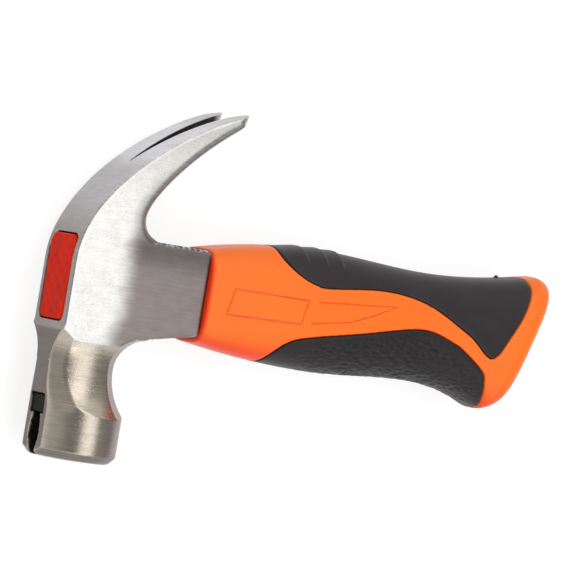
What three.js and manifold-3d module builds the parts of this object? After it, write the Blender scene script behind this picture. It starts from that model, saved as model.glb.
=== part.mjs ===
// A stubby claw hammer that lies on its side: X along the handle to the butt, Y along the head to the claw,
// Z up through the cheeks. Lengths are in millimetres and angles in degrees.
// While it is built, the poll's axis is the line x = 0, z = 0 and the handle's axis is the line y = 0, z = 0.
// The finished assembly is then set down on z = 0, centred in X and Y.

import * as THREE from 'three';
import Module from 'manifold-3d';
import { mergeVertices } from 'three/addons/utils/BufferGeometryUtils.js';

// Fits between neighbouring pieces
const FIT = 0.3;

// Head: the block round the eye, and its skirt
const TOP_FACE = 13.1; // from the poll's axis up to the top face
const CHEEK_HALF = 10; // half the thickness across the flat cheeks
const EDGE_CHAMFER = 0.6;
const SKIRT_REACH = 30.8; // from the poll's axis down to the skirt's end
const SKIRT_TAPER_START = 5.6; // where the flat cheek turns into the tapered skirt
const SKIRT_END_HALF = 9.4; // half the thickness at the skirt's end
const SKIRT_CLAW_SIDE = 13.9; // the skirt's claw side, from the handle's axis
const SKIRT_FACE_SIDE = 14.2; // the skirt's face side at its root
const SKIRT_FACE_SIDE_END = 11.6; // the skirt's face side at its end
const SKIRT_CORNER = 2; // round of the two end corners

// Claw: a curve on the outside, a curve on the inside and a throat over the skirt
const CLAW_START = 5.1; // where the top face starts to curve, from the handle's axis
const CLAW_TIP_DOWN = 35.5; // the tips, from the poll's axis towards the butt
const CLAW_TIP_OUT = 54.7; // the tips, from the handle's axis
const CLAW_OUTER_ROOT_PULL = 20.9; // lengths of the curves' end tangents
const CLAW_OUTER_TIP_PULL = 22.3;
const CLAW_INNER_ROOT_PULL = 6.7;
const CLAW_INNER_TIP_PULL = 16.1;
const CLAW_OUTER_TIP_ANGLE = 18.6; // how the tips point, above the handle's direction
const CLAW_INNER_TIP_ANGLE = 34.5;
const CLAW_TIP_THICKNESS = 3.9; // length of the tips' slanting end face
const CLAW_TIP_BEVEL_ANGLE = 61; // slope of that face
const THROAT_DOWN = 7.3; // the throat's wall, from the poll's axis
const THROAT_RUN = 5.3; // the round between the claw and the skirt
const THROAT_RISE = 6.4;
const SLOT_START_DOWN = 4.3; // where the slot between the tines starts, from the poll's axis
const SLOT_START_HALF = 0.25;
const SLOT_MOUTH_HALF = 4.4;
const CLAW_SPREAD = 2.4; // how much wider each side of the claw is at the tips than at its root
const TINE_TIP_ROUND = 3.6; // how far the tines' tips round off

// Neck and poll: an eight-sided neck, ground into a round bar
const EYE_BLOCK_END = 15; // the eye block's face side, from the handle's axis
const EYE_TO_WAIST = 9.5;
const WAIST_TO_POLL = 14.2;
const POLL_LENGTH = 13.7;
const POLL_RADIUS = 13.6;
const FACE_RADIUS = 11.1;
const FACE_CHAMFER_LENGTH = 2.7;
const TOP_CUT = 1.3; // how deep each facet is ground below the poll's radius
const UPPER_CUT = 1.9;
const SIDE_CUT = 5.6;
const LOWER_CUT = 5.4;
const BOTTOM_CUT = 5.2;
const UPPER_RISE = 4.1; // how far each facet rises again from the waist to the eye block
const SIDE_RISE = 4.3;
const LOWER_RISE = 6.9;
const BOTTOM_RISE = 6.9;
const UPPER_FACET_ANGLE = 50.3; // slope of the upper facets from the top facet
const LOWER_FACET_ANGLE = 41; // slope of the lower facets from the bottom facet

// Nail starter: a groove on top of the poll, and a magnet behind it
const GROOVE_DEPTH = 3.6;
const GROOVE_MOUTH_HALF = 1.45;
const GROOVE_BELLY_HALF = 3.4;
const GROOVE_THROAT_HALF = 2.35;
const GROOVE_BELLY_FROM_FACE = 7.7;
const MAGNET_FROM_BELLY = 5;
const MAGNET_LENGTH = 5.2;
const MAGNET_WIDTH = 7.8;
const MAGNET_DEPTH = 5;

// Eye, resin and core
const EYE_LENGTH = 25.5;
const EYE_CENTRE = -0.25;
const EYE_CORNER = 2.5;
const CHEEK_WALL = 2.1; // wall of each cheek beside the eye's upper end
const SKIRT_WALL = 2.8; // wall of the skirt round the eye's lower end
const RESIN_WALL = 1; // resin round the core at the eye's lower end
const RESIN_RECESS = 0.5; // below the top face
const RESIN_CAP = 2.5; // over the core's end
const CORE_CORNER = 2;
const CORE_END_COVER = 25; // from the core's end to the middle of the butt

// Handle sections: height above and below the axis, how square the section is, and how much slimmer each side is
// than the poll, which the hammer lies on
const COLLAR = { above: 14.4, below: 13.2, slimmer: 2.3, square: 4 };
const SWELL = { above: 19.6, below: 16.5, slimmer: 0.8, square: 2.6 };
const WAIST = { above: 18.2, below: 14.5, slimmer: 1.6, square: 2.5 };
const BUTT = { above: 22.5, below: 19.5, slimmer: 0.2, square: 3 };
const COLLAR_TO_SWELL = 40.9;
const SWELL_TO_WAIST = 34;
const WAIST_TO_BUTT = 31.2;
const BUTT_ROUND = 6;
const BUTT_SLANT = 0.32; // how far the butt leans, per millimetre of height
const GRIP_DEPTH = 2.2; // depth of the pockets that the two grips lie in

// How finely curves are divided, and how far cutters reach past what they cut
const RING_POINTS = 32;
const ROUND_SEGMENTS = 48;
const CURVE_SEGMENTS = 14;
const RING_SPACING = 4.2;
const BUTT_RINGS = 4;
const FLARE_RINGS = 7;
const CORNER_STEPS = 4;
const NECK_ROOT = 2; // how far the neck's solid reaches into the eye block
const FACET_CLEAR = 0.6; // how far the facets' planes stand off past the poll's start
const PAST = 10;
const MERGE_DISTANCE = 1e-4;

// Places that follow from the sizes above
const neckWaist = -EYE_BLOCK_END - EYE_TO_WAIST;
const pollStart = neckWaist - WAIST_TO_POLL;
const faceAt = pollStart - POLL_LENGTH;
const handleStart = SKIRT_REACH + FIT;
const swellAt = handleStart + COLLAR_TO_SWELL;
const waistAt = swellAt + SWELL_TO_WAIST;
const buttAt = waistAt + WAIST_TO_BUTT;
const buttEnd = buttAt + BUTT_ROUND;
const magnetAt = faceAt + GROOVE_BELLY_FROM_FACE + MAGNET_FROM_BELLY;
const pollFlat = POLL_RADIUS - TOP_CUT;
const resinTop = -TOP_FACE + RESIN_RECESS;
const coreTop = resinTop + RESIN_CAP + FIT;
const coreEnd = buttEnd - CORE_END_COVER;
const eyeEnd = {
  low: SKIRT_WALL - SKIRT_FACE_SIDE_END,
  high: SKIRT_CLAW_SIDE - SKIRT_WALL,
  half: SKIRT_END_HALF - SKIRT_WALL,
};

const wasm = await Module();
wasm.setup();

// Turns a closed geometry into a solid that can be joined and cut.
function solidFrom(geometry) {
  geometry.deleteAttribute('normal');
  geometry.deleteAttribute('uv');
  const merged = mergeVertices(geometry, MERGE_DISTANCE);
  const corners = merged.index.array;
  const faces = [];
  for (let i = 0; i < corners.length; i += 3) {
    const [a, b, c] = corners.slice(i, i + 3);
    if (a !== b && b !== c && c !== a) faces.push(a, b, c);
  }
  const mesh = new wasm.Mesh({
    numProp: 3,
    vertProperties: new Float32Array(merged.attributes.position.array),
    triVerts: new Uint32Array(faces),
  });
  return new wasm.Manifold(mesh);
}

// Turns a solid back into a geometry.
function geometryFrom(solid) {
  const mesh = solid.getMesh();
  const geometry = new THREE.BufferGeometry();
  geometry.setAttribute('position', new THREE.BufferAttribute(mesh.vertProperties, 3));
  geometry.setIndex(new THREE.BufferAttribute(mesh.triVerts, 1));
  geometry.computeVertexNormals();
  return geometry;
}

// Skins rings that follow each other along an axis, each running anticlockwise about it, and closes both ends.
function loft(rings) {
  const count = rings[0].length;
  const points = rings.flat();
  const faces = [];
  for (let ring = 0; ring + 1 < rings.length; ring += 1) {
    for (let i = 0; i < count; i += 1) {
      const a = ring * count + i;
      const b = ring * count + ((i + 1) % count);
      faces.push(a, b, b + count, a, b + count, a + count);
    }
  }
  const middle = (ring) => ring.reduce((sum, point) => sum.add(point), new THREE.Vector3()).divideScalar(count);
  const last = (rings.length - 1) * count;
  const startMiddle = points.length;
  const endMiddle = startMiddle + 1;
  for (let i = 0; i < count; i += 1) {
    const next = (i + 1) % count;
    faces.push(startMiddle, next, i, endMiddle, last + i, last + next);
  }
  points.push(middle(rings[0]), middle(rings[rings.length - 1]));
  const geometry = new THREE.BufferGeometry().setFromPoints(points);
  geometry.setIndex(faces);
  return solidFrom(geometry);
}

// Prisms of a flat outline: along Z of x and y, along Y of x and z, along X of z and y.
function prismAlongZ(outline, from, to) {
  const options = { depth: to - from, bevelEnabled: false };
  return solidFrom(new THREE.ExtrudeGeometry(new THREE.Shape(outline), options).translate(0, 0, from));
}

function prismAlongY(outline, from, to) {
  const options = { depth: to - from, bevelEnabled: false };
  const geometry = new THREE.ExtrudeGeometry(new THREE.Shape(outline), options);
  return solidFrom(geometry.rotateX(Math.PI / 2).translate(0, to, 0));
}

function prismAlongX(outline, from, to) {
  const options = { depth: to - from, bevelEnabled: false };
  const geometry = new THREE.ExtrudeGeometry(new THREE.Shape(outline), options);
  return solidFrom(geometry.rotateY(Math.PI / 2).translate(from, 0, 0));
}

// A flat point some distance away at an angle in degrees.
function away(x, y, angle, distance) {
  const turn = THREE.MathUtils.degToRad(angle);
  return new THREE.Vector2(x + distance * Math.cos(turn), y + distance * Math.sin(turn));
}

// A smooth line through a few chosen points.
function smooth(points) {
  const curve = new THREE.SplineCurve(points.map(([x, y]) => new THREE.Vector2(x, y)));
  return curve.getPoints(points.length * CORNER_STEPS);
}

// The side view of the claw, the eye block and the skirt, with chamfered edges.
function headBlock() {
  const tip = new THREE.Vector2(CLAW_TIP_DOWN, CLAW_TIP_OUT);
  const outerPull = away(tip.x, tip.y, CLAW_OUTER_TIP_ANGLE, -CLAW_OUTER_TIP_PULL);
  const heel = away(tip.x, tip.y, CLAW_TIP_BEVEL_ANGLE, -CLAW_TIP_THICKNESS);
  const innerPull = away(heel.x, heel.y, CLAW_INNER_TIP_ANGLE, -CLAW_INNER_TIP_PULL);
  const throatTop = SKIRT_CLAW_SIDE + THROAT_RISE;
  const throatEnd = THROAT_DOWN + THROAT_RUN;
  const cornerIn = SKIRT_REACH - SKIRT_CORNER;
  const rootCorner = POLL_RADIUS - BOTTOM_CUT + BOTTOM_RISE;
  const outline = new THREE.Shape();
  outline.moveTo(-TOP_FACE, -EYE_BLOCK_END);
  outline.lineTo(rootCorner - SKIRT_CORNER, -EYE_BLOCK_END);
  outline.lineTo(rootCorner, -SKIRT_FACE_SIDE);
  outline.lineTo(cornerIn, -SKIRT_FACE_SIDE_END);
  outline.quadraticCurveTo(SKIRT_REACH, -SKIRT_FACE_SIDE_END, SKIRT_REACH, -SKIRT_FACE_SIDE_END + SKIRT_CORNER);
  outline.lineTo(SKIRT_REACH, SKIRT_CLAW_SIDE - SKIRT_CORNER);
  outline.quadraticCurveTo(SKIRT_REACH, SKIRT_CLAW_SIDE, cornerIn, SKIRT_CLAW_SIDE);
  outline.lineTo(throatEnd, SKIRT_CLAW_SIDE);
  outline.absellipse(throatEnd, throatTop, THROAT_RUN, THROAT_RISE, 1.5 * Math.PI, Math.PI, true);
  const rootPull = throatTop + CLAW_INNER_ROOT_PULL;
  outline.bezierCurveTo(THROAT_DOWN, rootPull, innerPull.x, innerPull.y, heel.x, heel.y);
  outline.lineTo(tip.x, tip.y);
  const startPull = CLAW_START + CLAW_OUTER_ROOT_PULL;
  outline.bezierCurveTo(outerPull.x, outerPull.y, -TOP_FACE, startPull, -TOP_FACE, CLAW_START);
  const geometry = new THREE.ExtrudeGeometry(outline, {
    depth: 2 * (CHEEK_HALF - EDGE_CHAMFER),
    curveSegments: CURVE_SEGMENTS,
    bevelThickness: EDGE_CHAMFER,
    bevelSize: EDGE_CHAMFER,
    bevelOffset: -EDGE_CHAMFER,
    bevelSegments: 1,
  });
  return solidFrom(geometry.translate(0, 0, EDGE_CHAMFER - CHEEK_HALF));
}

// The block with its claw made wider towards the tips.
function spreadBlock() {
  const clawRoot = SKIRT_CLAW_SIDE + THROAT_RISE;
  const [claw, rest] = headBlock().splitByPlane([0, 1, 0], clawRoot);
  const slope = CLAW_SPREAD / CHEEK_HALF / (CLAW_TIP_OUT - clawRoot);
  const wider = claw.warp((point) => {
    point[2] *= 1 + slope * (point[1] - clawRoot);
  });
  return rest.add(wider);
}

// What the skirt's taper takes off one cheek.
function skirtTaper(side) {
  const slope = (CHEEK_HALF - SKIRT_END_HALF) / (SKIRT_REACH - SKIRT_TAPER_START);
  const outline = [
    new THREE.Vector2(SKIRT_TAPER_START, side * CHEEK_HALF),
    new THREE.Vector2(SKIRT_REACH + PAST, side * (SKIRT_END_HALF - slope * PAST)),
    new THREE.Vector2(SKIRT_REACH + PAST, side * (CHEEK_HALF + PAST)),
    new THREE.Vector2(SKIRT_TAPER_START, side * (CHEEK_HALF + PAST)),
  ];
  return prismAlongY(outline, neckWaist, SKIRT_CLAW_SIDE);
}

// The plan of the claw, with the slot and the rounded tips, through everything above the eye.
function clawPlan() {
  const wide = CHEEK_HALF + CLAW_SPREAD + PAST;
  const shoulder = CLAW_TIP_DOWN - TINE_TIP_ROUND;
  const tipHalf = CHEEK_HALF + CLAW_SPREAD;
  const tineMiddle = (tipHalf + SLOT_MOUTH_HALF) / 2;
  const half = [
    [CLAW_TIP_DOWN - 2 * TINE_TIP_ROUND, wide],
    [shoulder, tipHalf],
    [CLAW_TIP_DOWN - TINE_TIP_ROUND / 4, (tipHalf + tineMiddle) / 2],
    [CLAW_TIP_DOWN, tineMiddle],
    [CLAW_TIP_DOWN - TINE_TIP_ROUND / 4, (SLOT_MOUTH_HALF + tineMiddle) / 2],
    [shoulder, SLOT_MOUTH_HALF],
    [SLOT_START_DOWN, SLOT_START_HALF],
  ];
  const other = half.map(([x, z]) => [x, -z]).reverse();
  const back = -TOP_FACE - PAST;
  const outline = [[back, wide], ...half, ...other, [back, -wide]];
  const points = outline.map(([x, z]) => new THREE.Vector2(x, z));
  return prismAlongY(points, SKIRT_CLAW_SIDE, CLAW_TIP_OUT + PAST);
}

// Rise of an arc that leaves its start level and climbs a given height over a given span.
function arcRise(along, span, height) {
  const radius = (span * span + height * height) / (2 * height);
  return radius - Math.sqrt(radius * radius - along * along);
}

// Eight corners of a neck section, from how far each facet lies from the poll's axis.
function octagon(y, top, upper, side, lower, bottom) {
  const upperTurn = THREE.MathUtils.degToRad(UPPER_FACET_ANGLE);
  const lowerTurn = THREE.MathUtils.degToRad(LOWER_FACET_ANGLE);
  const upperMost = top * Math.cos(upperTurn) + side * Math.sin(upperTurn);
  const lowerMost = bottom * Math.cos(lowerTurn) + side * Math.sin(lowerTurn);
  const upperAt = Math.min(upper, upperMost - EDGE_CHAMFER);
  const lowerAt = Math.min(lower, lowerMost - EDGE_CHAMFER);
  const half = [
    [bottom, (lowerAt - bottom * Math.cos(lowerTurn)) / Math.sin(lowerTurn)],
    [(lowerAt - side * Math.sin(lowerTurn)) / Math.cos(lowerTurn), side],
    [-(upperAt - side * Math.sin(upperTurn)) / Math.cos(upperTurn), side],
    [-top, (upperAt - top * Math.cos(upperTurn)) / Math.sin(upperTurn)],
  ];
  const other = half.map(([x, z]) => [x, -z]).reverse();
  return [...half, ...other].map(([x, z]) => new THREE.Vector3(x, y, z));
}

// The neck's facets flare into the eye block on one side and out through the round poll on the other.
function neckAndPoll() {
  const rings = [];
  const ringAt = (y, facet) => {
    const share = THREE.MathUtils.clamp((neckWaist - y) / WAIST_TO_POLL, 0, 1);
    const top = THREE.MathUtils.lerp(TOP_FACE, pollFlat, share);
    rings.push(octagon(
      y,
      top,
      facet(UPPER_CUT, UPPER_RISE),
      Math.min(facet(SIDE_CUT, SIDE_RISE), y > neckWaist ? CHEEK_HALF : Infinity),
      facet(LOWER_CUT, LOWER_RISE),
      facet(BOTTOM_CUT, BOTTOM_RISE),
    ));
  };
  ringAt(-EYE_BLOCK_END + NECK_ROOT, (cut, rise) => POLL_RADIUS - cut + rise);
  for (let step = FLARE_RINGS; step > 0; step -= 1) {
    const along = (EYE_TO_WAIST * step) / FLARE_RINGS;
    ringAt(neckWaist + along, (cut, rise) => POLL_RADIUS - cut + arcRise(along, EYE_TO_WAIST, rise));
  }
  for (let step = 0; step <= FLARE_RINGS; step += 1) {
    const along = (WAIST_TO_POLL * step) / FLARE_RINGS;
    ringAt(neckWaist - along, (cut) => POLL_RADIUS - cut + arcRise(along, WAIST_TO_POLL, cut));
  }
  ringAt(pollStart - FACET_CLEAR, () => POLL_RADIUS + FACET_CLEAR);
  ringAt(faceAt - PAST, () => POLL_RADIUS + FACET_CLEAR);
  const wide = TOP_FACE + SKIRT_REACH;
  const bar = [
    [0, faceAt],
    [FACE_RADIUS, faceAt],
    [POLL_RADIUS, faceAt + FACE_CHAMFER_LENGTH],
    [POLL_RADIUS, neckWaist],
    [wide, -EYE_BLOCK_END - EYE_TO_WAIST / 2],
    [wide, 0],
    [0, 0],
  ];
  const round = new THREE.LatheGeometry(bar.map(([r, y]) => new THREE.Vector2(r, y)), ROUND_SEGMENTS);
  return loft(rings).intersect(solidFrom(round));
}

// Points of a rectangle with round corners in a plane across X.
function roundedRing(x, low, high, half, corner) {
  const points = [];
  const middles = [
    [high - corner, half - corner],
    [low + corner, half - corner],
    [low + corner, corner - half],
    [high - corner, corner - half],
  ];
  middles.forEach(([y, z], quarter) => {
    for (let step = 0; step <= CORNER_STEPS; step += 1) {
      const turn = (quarter + step / CORNER_STEPS) * (Math.PI / 2);
      points.push(new THREE.Vector3(x, y + corner * Math.cos(turn), z + corner * Math.sin(turn)));
    }
  });
  return points;
}

// A length of the eye's tapered inside, narrowed all round.
function eyeFill(from, to, narrow) {
  const ringAt = (x) => {
    const share = (x + TOP_FACE) / (SKIRT_REACH + TOP_FACE);
    const low = THREE.MathUtils.lerp(EYE_CENTRE - EYE_LENGTH / 2, eyeEnd.low, share) + narrow;
    const high = THREE.MathUtils.lerp(EYE_CENTRE + EYE_LENGTH / 2, eyeEnd.high, share) - narrow;
    const half = THREE.MathUtils.lerp(CHEEK_HALF - CHEEK_WALL, eyeEnd.half, share) - narrow;
    return roundedRing(x, low, high, half, EYE_CORNER - narrow);
  };
  return loft([ringAt(from), ringAt(to)]);
}

// A length of the core's bar, which clears the resin at the eye's lower end, widened all round.
function coreBar(from, to, widen) {
  const inside = FIT + RESIN_WALL + FIT - widen;
  const ringAt = (x) => {
    const { low, high, half } = eyeEnd;
    return roundedRing(x, low + inside, high - inside, half - inside, CORE_CORNER + widen);
  };
  return loft([ringAt(from), ringAt(to)]);
}

// The nail groove's outline on top of the poll, as z and y, from the magnet out through the face.
function grooveOutline() {
  const side = smooth([
    [GROOVE_THROAT_HALF, magnetAt],
    [GROOVE_BELLY_HALF, faceAt + GROOVE_BELLY_FROM_FACE],
    [GROOVE_MOUTH_HALF, faceAt],
  ]);
  side.push(new THREE.Vector2(GROOVE_MOUTH_HALF, faceAt - PAST));
  const other = side.map((point) => new THREE.Vector2(-point.x, point.y)).reverse();
  return [...side, ...other];
}

// The magnet's block, or with a clearance the pocket that it sits in.
function magnetBlock(clearance) {
  const top = FIT - pollFlat;
  const half = MAGNET_WIDTH / 2 + clearance;
  const low = magnetAt - clearance;
  const high = magnetAt + MAGNET_LENGTH + clearance;
  const outline = [[-half, low], [half, low], [half, high], [-half, high]];
  const points = outline.map(([z, y]) => new THREE.Vector2(z, y));
  return prismAlongX(points, clearance > 0 ? top - PAST : top, top + MAGNET_DEPTH + clearance);
}

function head() {
  const reach = TOP_FACE + SKIRT_REACH;
  const clawRoot = SKIRT_CLAW_SIDE + THROAT_RISE;
  const below = [[-reach, faceAt], [reach, faceAt], [reach, clawRoot], [-reach, clawRoot]];
  const belowClaw = prismAlongZ(below.map(([x, y]) => new THREE.Vector2(x, y)), -reach, reach);
  return spreadBlock()
    .intersect(clawPlan().add(belowClaw))
    .add(neckAndPoll())
    .subtract(skirtTaper(1))
    .subtract(skirtTaper(-1))
    .subtract(eyeFill(-TOP_FACE - PAST, SKIRT_REACH + PAST, 0))
    .subtract(prismAlongX(grooveOutline(), -pollFlat - PAST, GROOVE_DEPTH - pollFlat))
    .subtract(magnetBlock(FIT));
}

function eyeResin() {
  return eyeFill(resinTop, SKIRT_REACH, FIT).subtract(coreBar(coreTop - FIT, SKIRT_REACH + PAST, FIT));
}

// The handle's section at a place along it, and how far it leans there.
function handleSection(x) {
  const mix = (from, to, share) => ({
    above: THREE.MathUtils.lerp(from.above, to.above, share),
    below: THREE.MathUtils.lerp(from.below, to.below, share),
    half: POLL_RADIUS - THREE.MathUtils.lerp(from.slimmer, to.slimmer, share),
    square: THREE.MathUtils.lerp(from.square, to.square, share),
  });
  if (x < swellAt) {
    const left = (swellAt - x) / COLLAR_TO_SWELL;
    return { ...mix(COLLAR, SWELL, 1 - left * left), lean: 0 };
  }
  if (x < waistAt) return { ...mix(SWELL, WAIST, THREE.MathUtils.smoothstep(x, swellAt, waistAt)), lean: 0 };
  const share = Math.min((x - waistAt) / WAIST_TO_BUTT, 1);
  return { ...mix(WAIST, BUTT, share * share), lean: BUTT_SLANT * share };
}

// One ring of the handle, drawn in all round by an inset.
function handleRing(x, inset, shift) {
  const { above, below, half, square, lean } = handleSection(x);
  const middle = (above - below) / 2;
  const points = [];
  for (let i = 0; i < RING_POINTS; i += 1) {
    const turn = (2 * Math.PI * i) / RING_POINTS;
    const up = Math.sign(Math.cos(turn)) * Math.abs(Math.cos(turn)) ** (2 / square);
    const out = Math.sign(Math.sin(turn)) * Math.abs(Math.sin(turn)) ** (2 / square);
    const y = middle + ((above + below) / 2 - inset) * up;
    points.push(new THREE.Vector3(x + shift + lean * (y - middle), y, (half - inset) * out));
  }
  return points;
}

// The handle's outside with both grips on, or a skin's depth below it.
function handleEnvelope(depth) {
  const steps = Math.round((buttAt - handleStart) / RING_SPACING);
  const rings = [];
  for (let step = 0; step <= steps; step += 1) {
    rings.push(handleRing(THREE.MathUtils.lerp(handleStart, buttAt, step / steps), depth, 0));
  }
  const round = BUTT_ROUND - depth;
  for (let step = 1; step <= BUTT_RINGS; step += 1) {
    const turn = (step / BUTT_RINGS) * (Math.PI / 2);
    rings.push(handleRing(buttAt, depth + round * (1 - Math.cos(turn)), round * Math.sin(turn)));
  }
  return loft(rings);
}

// A point on the handle's side view. Its place is 0 at the collar, 1 at the swell, 2 at the waist, 3 at the butt
// and 4 at the end. Its height is a share of the section's own height above or below the axis there.
function sidePoint([place, height]) {
  const stops = [handleStart, swellAt, waistAt, buttAt, buttEnd];
  const from = Math.floor(place);
  const x = THREE.MathUtils.lerp(stops[from], stops[from + 1], place - from);
  const { above, below } = handleSection(x);
  return [x, height * (height > 0 ? above : below)];
}

// The side view of each grip's border through chosen points, from end to end.
function upperBorder() {
  const points = [
    [0.529, 1],
    [0.562, 0.822],
    [0.647, 0.653],
    [0.743, 0.534],
    [0.84, 0.464],
    [0.95, 0.446],
    [1.5, 0.565],
    [1.94, 0.49],
    [2.385, 0.138],
    [2.52, 0],
    [2.635, -0.18],
    [2.716, -0.231],
    [2.79, -0.119],
    [2.862, 0.094],
    [2.976, 0.4],
    [3.244, 0.641],
    [3.433, 0.81],
    [3.413, 0.915],
  ];
  return smooth(points.map(sidePoint));
}

function lowerBorder() {
  const points = [
    [2.79, -1.1],
    [2.75, -0.948],
    [2.729, -0.816],
    [2.695, -0.623],
    [2.67, -0.522],
    [2.598, -0.415],
    [2.45, -0.235],
    [2.288, -0.074],
    [1.918, 0.077],
    [1.324, -0.168],
    [0.828, -0.396],
    [0.68, -0.551],
    [0.587, -0.796],
    [0.54, -1.01],
  ];
  return smooth(points.map(sidePoint));
}

// Closes a border above or below the handle and draws the outline in by a clearance.
function gripOutline(border, side, clearance) {
  const far = side * (BUTT.above + BUTT.below);
  const first = border[0];
  const last = border[border.length - 1];
  const closed = [new THREE.Vector2(first.x, far), ...border, new THREE.Vector2(last.x, far)];
  return closed.map((point, i) => {
    const before = closed[(i + closed.length - 1) % closed.length];
    const after = closed[(i + 1) % closed.length];
    const along = after.clone().sub(before).normalize();
    return new THREE.Vector2(point.x - along.y * clearance, point.y + along.x * clearance);
  });
}

// A prism of a grip's side view, right through the handle.
function gripPrism(border, side, clearance) {
  const reach = POLL_RADIUS + PAST;
  return prismAlongZ(gripOutline(border, side, clearance), -reach, reach);
}

function handleBody(envelope) {
  const under = handleEnvelope(GRIP_DEPTH);
  const pockets = gripPrism(upperBorder(), 1, 0).add(gripPrism(lowerBorder(), -1, 0)).subtract(under);
  const bore = coreBar(handleStart - PAST, coreEnd + FIT, FIT);
  return envelope.subtract(pockets).subtract(bore);
}

function grip(envelope, border, side) {
  const inside = handleEnvelope(GRIP_DEPTH - FIT);
  return envelope.intersect(gripPrism(border, side, FIT)).subtract(inside);
}

// A named piece with its own finish.
function piece(name, solid, color, roughness, metalness) {
  const material = new THREE.MeshStandardMaterial({ color, roughness, metalness });
  const mesh = new THREE.Mesh(geometryFrom(solid), material);
  mesh.name = name;
  return mesh;
}

const envelope = handleEnvelope(0);
const hammer = new THREE.Group();
hammer.add(
  piece('head', head(), '#b8b5b1', 0.32, 1),
  piece('nail_magnet', magnetBlock(0), '#1d1b1b', 0.5, 0.2),
  piece('eye_resin', eyeResin(), '#d2301c', 0.3, 0),
  piece('handle_core', coreBar(coreTop, coreEnd, 0), '#d9c88f', 0.5, 0),
  piece('handle_body', handleBody(envelope), '#ff7526', 0.35, 0),
  piece('upper_grip', grip(envelope, upperBorder(), 1), '#3a3537', 0.7, 0),
  piece('lower_grip', grip(envelope, lowerBorder(), -1), '#332f30', 0.75, 0),
);

// Set down on z = 0, centred in X and Y.
const reach = new THREE.Box3().setFromObject(hammer);
const centre = reach.getCenter(new THREE.Vector3());
hammer.position.set(-centre.x, -centre.y, -reach.min.z);

export default hammer;
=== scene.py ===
# A stubby claw hammer that lies on its side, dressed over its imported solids.
import math

import bmesh
import bpy
import numpy as np
from mathutils import Matrix, Vector, noise


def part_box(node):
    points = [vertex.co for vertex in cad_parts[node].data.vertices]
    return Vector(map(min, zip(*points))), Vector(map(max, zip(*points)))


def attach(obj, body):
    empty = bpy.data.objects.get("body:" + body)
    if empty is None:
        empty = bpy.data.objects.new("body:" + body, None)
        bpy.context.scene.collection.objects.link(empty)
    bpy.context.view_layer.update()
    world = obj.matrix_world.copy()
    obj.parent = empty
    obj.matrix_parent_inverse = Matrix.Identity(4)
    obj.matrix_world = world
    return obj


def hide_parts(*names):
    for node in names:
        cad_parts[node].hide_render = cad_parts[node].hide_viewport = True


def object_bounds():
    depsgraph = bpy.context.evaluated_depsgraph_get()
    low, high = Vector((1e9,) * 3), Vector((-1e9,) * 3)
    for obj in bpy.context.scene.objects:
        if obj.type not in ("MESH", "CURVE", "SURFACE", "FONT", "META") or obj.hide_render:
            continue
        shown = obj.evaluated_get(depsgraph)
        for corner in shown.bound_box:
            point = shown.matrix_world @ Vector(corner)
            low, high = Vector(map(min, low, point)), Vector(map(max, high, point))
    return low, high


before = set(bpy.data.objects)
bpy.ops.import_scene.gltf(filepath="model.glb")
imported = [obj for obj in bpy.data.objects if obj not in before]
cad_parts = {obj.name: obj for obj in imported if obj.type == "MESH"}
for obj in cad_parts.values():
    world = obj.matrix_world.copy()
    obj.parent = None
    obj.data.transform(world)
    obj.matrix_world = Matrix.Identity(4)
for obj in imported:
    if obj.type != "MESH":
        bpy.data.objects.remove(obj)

cad_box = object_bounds()

# Shapes are written in millimetres. The poll's axis is the line x = 0, z = 0, and the handle's axis is the
# line y = 0, z = 0, with x along the handle to the butt and y along the head to the claw.
MM = 0.001
FIT = 0.3

# Head: the block round the eye, and its skirt
TOP_FACE = 13.1
CHEEK_HALF = 10.0
EDGE_ROUND = 0.7
SKIRT_REACH = 30.8
SKIRT_TAPER_START = 5.6
SKIRT_END_HALF = 9.4
SKIRT_CLAW_SIDE = 13.9
SKIRT_FACE_SIDE = 14.2
SKIRT_FACE_SIDE_END = 11.6
SKIRT_CORNER = 2.0

# Claw
CLAW_START = 5.1
CLAW_TIP_DOWN = 35.5
CLAW_TIP_OUT = 54.7
CLAW_OUTER_ROOT_PULL = 20.9
CLAW_OUTER_TIP_PULL = 22.3
CLAW_INNER_ROOT_PULL = 6.7
CLAW_INNER_TIP_PULL = 16.1
CLAW_OUTER_TIP_ANGLE = 18.6
CLAW_INNER_TIP_ANGLE = 34.5
CLAW_TIP_THICKNESS = 3.9
CLAW_TIP_BEVEL_ANGLE = 61.0
CLAW_SPREAD = 2.4  # how much wider each side is at the tips
CLAW_UNDER_ROUND = 3.0  # round of the edges under the claw
CLAW_UNDER_OUT = 1.1  # how far the claw swells under that round
CLAW_UNDER_BAND = (0.5, 0.85)  # nearness to the line under the claw over which both start
THROAT_DOWN = 7.3
THROAT_RUN = 5.3
THROAT_RISE = 6.4
SLOT_START_DOWN = 4.3
SLOT_START_HALF = 0.25
SLOT_MOUTH_HALF = 4.4
SLOT_EDGE = 0.25
TINE_TIP_ROUND = 3.6
TINE_TIP_EDGE = 0.4

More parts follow.
